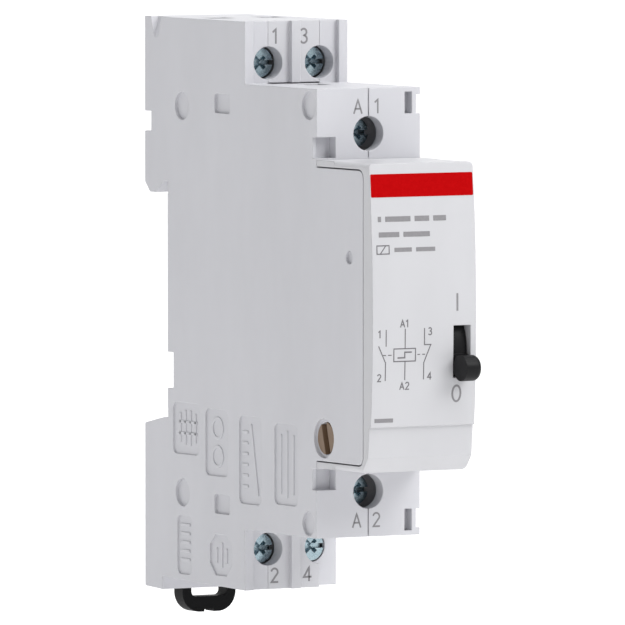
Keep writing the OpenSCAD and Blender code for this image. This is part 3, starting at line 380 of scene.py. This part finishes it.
# Faces that carry marks, in mm: the cap's face with its half height and its bulge, the panels of
# the contact terminals, the tiers of the coil terminals, and the floor of the left side's fields
NOSE_FACE_Y = -60.1
NOSE_HALF = 22.5
NOSE_BULGE = 1.1
FACE_R = (NOSE_HALF ** 2 + NOSE_BULGE ** 2) / (2 * NOSE_BULGE)
PANEL_Y = -22.25
TIER_Y = -44.0
FIELD_X = -8.5
# Height of the ribs in the side's fields
RIB = 0.14


def on_nose(x, z, lift):
    """Point in mm above the cap's bulged face."""
    return (x, NOSE_FACE_Y + FACE_R - math.sqrt(FACE_R ** 2 - z ** 2) - lift, z)


def on_panel(x, z, lift):
    """Point in mm above a panel of the contact terminals."""
    return (x, PANEL_Y - lift, z)


def on_tier(x, z, lift):
    """Point in mm above the face of a coil terminal's tier."""
    return (x, TIER_Y - lift, z)


def on_field(y, z, lift):
    """Point in mm above the floor of a field in the left side."""
    return (FIELD_X - lift, y, z)


def resample(points, step, closed):
    """Adds points along a line so that none are further apart than a step."""
    pairs = list(zip(points, points[1:] + points[:1] if closed else points[1:]))
    out = []
    for (x0, z0), (x1, z1) in pairs:
        n = max(1, math.ceil(math.hypot(x1 - x0, z1 - z0) / step))
        out += [(x0 + (x1 - x0) * i / n, z0 + (z1 - z0) * i / n) for i in range(n)]
    return out if closed else out + [points[-1]]


def stroke(bm, points, width, surface, closed=False, step=0.6, height=INK):
    """Raised line of one width along points in mm, laid on a surface."""
    path = [Vector(p) for p in resample(points, step, closed)]
    count = len(path)
    rows = []
    for i, p in enumerate(path):
        before = path[i - 1] if i or closed else None
        after = path[(i + 1) % count] if i < count - 1 or closed else None
        a = (p - before).normalized() if before is not None else (after - p).normalized()
        b = (after - p).normalized() if after is not None else a
        middle = (a + b).normalized() if (a + b).length > 0.2 else a
        normal = Vector((-middle.y, middle.x))
        reach = min(width / 2 / max(0.4, normal.dot(Vector((-a.y, a.x)))), width)
        if before is None:
            p = p - a * width * 0.1
        if after is None:
            p = p + a * width * 0.1
        row = []
        # Section of the line: a sunk foot, sloping shoulders and a flat top
        for side, lift in ((-1, -SUNK), (-1, height * 0.6), (-0.8, height),
                           (0.8, height), (1, height * 0.6), (1, -SUNK)):
            q = p + normal * reach * side
            row.append(bm.verts.new(Vector(surface(q.x, q.y, lift)) * MM))
        rows.append(row)
    loops = list(zip(rows, rows[1:] + rows[:1])) if closed else list(zip(rows, rows[1:]))
    for r, s in loops:
        for k in range(6):
            bm.faces.new((r[k], r[(k + 1) % 6], s[(k + 1) % 6], s[k]))
    if not closed:
        bm.faces.new(rows[0][::-1])
        bm.faces.new(rows[-1])


def arc(cx, cz, r, a0, a1, steps=10, squeeze=1.0):
    """Points of an arc, angles in degrees from +X towards +Z."""
    return [(cx + squeeze * r * math.cos(math.radians(a0 + (a1 - a0) * i / steps)),
             cz + r * math.sin(math.radians(a0 + (a1 - a0) * i / steps))) for i in range(steps + 1)]


# Strokes of each sign in a cell 0..1 high, as lists of (x, z)
SIGNS = {
    "1": [[(0.0, 0.78), (0.24, 0.98), (0.24, 0.0)]],
    "2": [arc(0.27, 0.73, 0.26, 165, -20, 10) + [(0.03, 0.03), (0.56, 0.03)]],
    "3": [arc(0.26, 0.755, 0.23, 150, -80, 9) + arc(0.26, 0.27, 0.26, 80, -150, 10)],
    "4": [[(0.42, 0.0), (0.42, 0.98), (0.0, 0.3), (0.6, 0.3)]],
    "A": [[(0.0, 0.0), (0.33, 0.98), (0.66, 0.0)], [(0.12, 0.34), (0.54, 0.34)]],
    "I": [[(0.0, 0.0), (0.0, 1.0)]],
    "O": [arc(0.3, 0.5, 0.49, 90, 450, 24, 0.6)[:-1]],
}


def sign(bm, name, x, z, height, width, surface):
    """One sign, with its lower left corner at (x, z)."""
    for points in SIGNS[name]:
        placed = [(x + px * height, z + pz * height) for px, pz in points]
        stroke(bm, placed, width, surface, closed=name == "O", step=0.3)


def add_piece(name, bm, material):
    """New piece that rides on the housing."""
    mesh = bpy.data.meshes.new(name)
    bmesh.ops.recalc_face_normals(bm, faces=bm.faces)
    bm.to_mesh(mesh)
    bm.free()
    obj = bpy.data.objects.new(name, mesh)
    SCENE.collection.objects.link(obj)
    mesh.materials.append(material)
    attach(obj, "housing")
    return obj


# Half width, lower and upper edge, and corner radius of the colour band
BAND_HALF = 8.62
BAND_Z = (17.62, 20.98)
BAND_R = 0.18


def red_band():
    """Blank colour band across the top of the cap, with slightly rounded corners."""
    x0, x1 = -BAND_HALF, BAND_HALF
    z0, z1 = BAND_Z
    r = BAND_R
    bm = bmesh.new()
    columns = [x0 + r * (1 - math.cos(math.radians(a))) for a in (0, 30, 60, 90)]
    columns += [x0 + (x1 - x0) * i / 24 for i in range(1, 24)]
    columns += [x1 - r * (1 - math.cos(math.radians(a))) for a in (90, 60, 30, 0)]
    grid = []
    for x in columns:
        inset = min(x - x0, x1 - x)
        cut = r - math.sqrt(max(0.0, r * r - (r - inset) ** 2)) if inset < r else 0.0
        low, high = z0 + cut, z1 - cut
        zs = [low + (high - low) * k / 8 for k in range(9)]
        front = [bm.verts.new(Vector(on_nose(x, z, INK)) * MM) for z in zs]
        back = [bm.verts.new(Vector(on_nose(x, z, -SUNK)) * MM) for z in zs]
        grid.append(front + back[::-1])
    for a, b in zip(grid, grid[1:]):
        for k in range(len(a)):
            n = (k + 1) % len(a)
            bm.faces.new((a[k], a[n], b[n], b[k]))
    bm.faces.new(grid[0][::-1])
    bm.faces.new(grid[-1])
    add_piece("front_band", bm, INKS["red"])


def label_bars():
    """Rows of plain bars in place of the printed data."""
    # Left end, height, thickness and the bars' lengths
    rows = [(-7.7, 14.45, 0.775, (0.7, 4.4, 2.6, 2.3)), (-7.6, 12.2, 0.744, (3.6, 4.6)),
            (-5.05, 9.98, 0.62, (3.1, 3.4)), (-8.25, -14.8, 0.589, (3.3,))]
    word_gap = 0.55
    end = 0.15
    bm = bmesh.new()
    for x, z, thickness, words in rows:
        for length in words:
            stroke(bm, [(x + end, z), (x + length - end, z)], thickness, on_nose)
            x += length + word_gap
    add_piece("label_bars", bm, INKS["grey"])


def circuit_diagram():
    """Coil with a step sign between two contacts, joined by a dashed line."""
    bm = bmesh.new()
    line = 0.16

    def draw(*points, width=line, closed=False):
        stroke(bm, list(points), width, on_nose, closed)

    # Coil and its two leads
    draw((-3.25, -1.5), (-3.25, -4.35))
    draw((-5.14, -4.4), (-1.5, -4.4), (-1.5, -6.24), (-5.14, -6.24), closed=True)
    draw((-4.5, -5.72), (-3.3, -5.72), (-3.3, -4.92), (-2.15, -4.92), width=0.2)
    draw((-3.25, -6.3), (-3.25, -8.95))
    # Normally open contact
    draw((-6.46, -1.6), (-6.46, -4.0))
    draw((-7.72, -3.95), (-6.58, -6.3))
    draw((-6.53, -6.3), (-6.53, -9.0))
    # Normally closed contact
    draw((0.0, -1.5), (0.0, -3.9), (1.16, -3.9))
    draw((1.05, -3.95), (-0.08, -6.5))
    draw((-0.08, -6.5), (-0.08, -8.95))
    # Dashed link between the contacts
    for x0, x1 in ((-7.0, -6.5), (-6.1, -5.55), (-1.15, -0.75), (-0.35, 0.1)):
        draw((x0, -5.3), (x1, -5.3), width=0.14)
    for name, x, z in (("1", -7.75, -2.75), ("2", -7.85, -9.1), ("3", 0.65, -2.5), ("4", 0.6, -9.0)):
        sign(bm, name, x, z, 1.05, 0.17, on_nose)
    for name, z in (("1", -1.28), ("2", -10.35)):
        sign(bm, "A", -4.05, z, 1.05, 0.17, on_nose)
        sign(bm, name, -3.1, z, 1.05, 0.17, on_nose)
    # Small coil sign beside the third row
    draw((-7.9, 9.42), (-5.85, 9.42), (-5.85, 10.62), (-7.9, 10.62), closed=True)
    draw((-7.35, 9.42), (-6.4, 10.62))
    add_piece("circuit_diagram", bm, INKS["dark"])


def position_signs():
    """Signs of the lever's two positions."""
    bm = bmesh.new()
    sign(bm, "I", 5.56, 0.9, 2.5, 0.32, on_nose)
    sign(bm, "O", 4.84, -12.35, 2.35, 0.3, on_nose)
    add_piece("position_signs", bm, INKS["grey"])


def terminal_numbers():
    """Numbers of the contact terminals and of the coil terminals."""
    bm = bmesh.new()
    for name, x, z, height in (("1", -3.55, 38.75, 2.15), ("3", 1.15, 38.75, 2.15),
                               ("2", -3.85, -40.9, 2.1), ("4", 1.75, -40.9, 2.1)):
        sign(bm, name, x, z, height, 0.3, on_panel)
    for name, x, z in (("A", -2.45, 29.15), ("1", 1.1, 29.15), ("A", -2.65, -31.45), ("2", 0.8, -31.45)):
        sign(bm, name, x, z, 2.05, 0.26, on_tier)
    add_piece("terminal_numbers", bm, INKS["grey"])


def field_ribs():
    """Plain raised ribs in the fields of the left side, in place of moulded marks."""
    bars = [
        # First field: four upright ribs and two across
        ((-8.0, -16.6), (-8.0, -20.9)), ((-6.5, -16.2), (-6.5, -21.3)),
        ((-5.0, -16.2), (-5.0, -21.3)), ((-3.5, -16.6), (-3.5, -20.9)),
        ((-8.4, -17.9), (-3.1, -17.9)), ((-8.4, -19.6), (-3.1, -19.6)),
        # Third field: a slanting rib beside a column of short ones
        ((-26.6, -27.6), (-24.5, -17.2)),
        # Fourth field: three long ribs
        ((-36.9, -18.2), (-36.9, -26.9)), ((-35.1, -17.6), (-35.1, -27.4)),
        ((-33.3, -18.2), (-33.3, -26.9)),
        # Eight-sided field
        ((-17.3, -36.1), (-17.3, -38.2)), ((-15.9, -35.3), (-15.9, -38.9)),
        ((-14.4, -36.1), (-14.4, -38.2)),
    ]
    bars += [((-23.6, z), (-22.2, z)) for z in (-18.4, -20.0, -21.6, -23.2, -24.8, -26.4)]
    bars += [((-6.3, z), (-3.8, z)) for z in (-33.2, -34.5, -35.8, -37.1, -38.4)]
    bm = bmesh.new()
    for bar in bars:
        stroke(bm, list(bar), 0.42, on_field, height=RIB)
    # Second field: two rings
    for z in (-18.3, -22.5):
        stroke(bm, arc(-14.6, z, 1.5, 0, 360, 20)[:-1], 0.42, on_field, closed=True, height=RIB)
    add_piece("field_ribs", bm, MATERIALS["shell_plastic"])


# ---------- clip spring ----------

SPRING_TURNS = 7
SPRING_WIRE = 0.25
# Height of the spring's first and last turn, which lie closed
CLOSED_TURN = 0.52


def spring_height(turn, length):
    """Height of the wire's middle above the first turn's start, in mm."""
    middle = SPRING_TURNS - 2
    open_turn = (length - 2 * CLOSED_TURN) / middle
    return (CLOSED_TURN * min(turn, 1) + open_turn * min(max(turn - 1, 0), middle)
            + CLOSED_TURN * max(turn - 1 - middle, 0))


def clip_spring():
    """Round-wire coil with closed end turns, built in the box of the clip's spring."""
    low, high = (Vector(corner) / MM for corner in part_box("clip_spring"))
    centre = (low + high) / 2
    radius = (high.x - low.x) / 2 - SPRING_WIRE
    length = high.z - low.z - 2 * SPRING_WIRE
    # Rings in one turn, and sides of the wire
    around, sides = 28, 12
    bm = bmesh.new()
    rings = []
    for i in range(SPRING_TURNS * around + 1):
        turn = i / around
        a = 2 * math.pi * turn
        out = Vector((math.cos(a), math.sin(a), 0))
        height = low.z + SPRING_WIRE + spring_height(turn, length)
        middle = Vector((centre.x, centre.y, height)) + out * radius
        ring = []
        for k in range(sides):
            b = 2 * math.pi * k / sides
            point = middle + (out * math.cos(b) + Vector((0, 0, math.sin(b)))) * SPRING_WIRE
            ring.append(bm.verts.new(point * MM))
        rings.append(ring)
    for r, s in zip(rings, rings[1:]):
        for k in range(sides):
            bm.faces.new((r[k], r[(k + 1) % sides], s[(k + 1) % sides], s[k]))
    bm.faces.new(rings[0][::-1])
    bm.faces.new(rings[-1])
    for face in bm.faces:
        face.smooth = len(face.verts) == 4
    spring = add_piece("clip_spring_coil", bm, MATERIALS["spring_steel"])
    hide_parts("clip_spring")
    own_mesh(spring)


# ---------- build ----------

SCENE.view_settings.view_transform = "Standard"
make_camera()
make_world()
make_floor()
area_light("overhead", azimuth=40, elevation=76, distance=1.2, watts=10)
area_light("front", azimuth=34, elevation=36, distance=1.8, watts=15)
dress_nodes()
red_band()
label_bars()
circuit_diagram()
position_signs()
terminal_numbers()
field_ribs()
clip_spring()
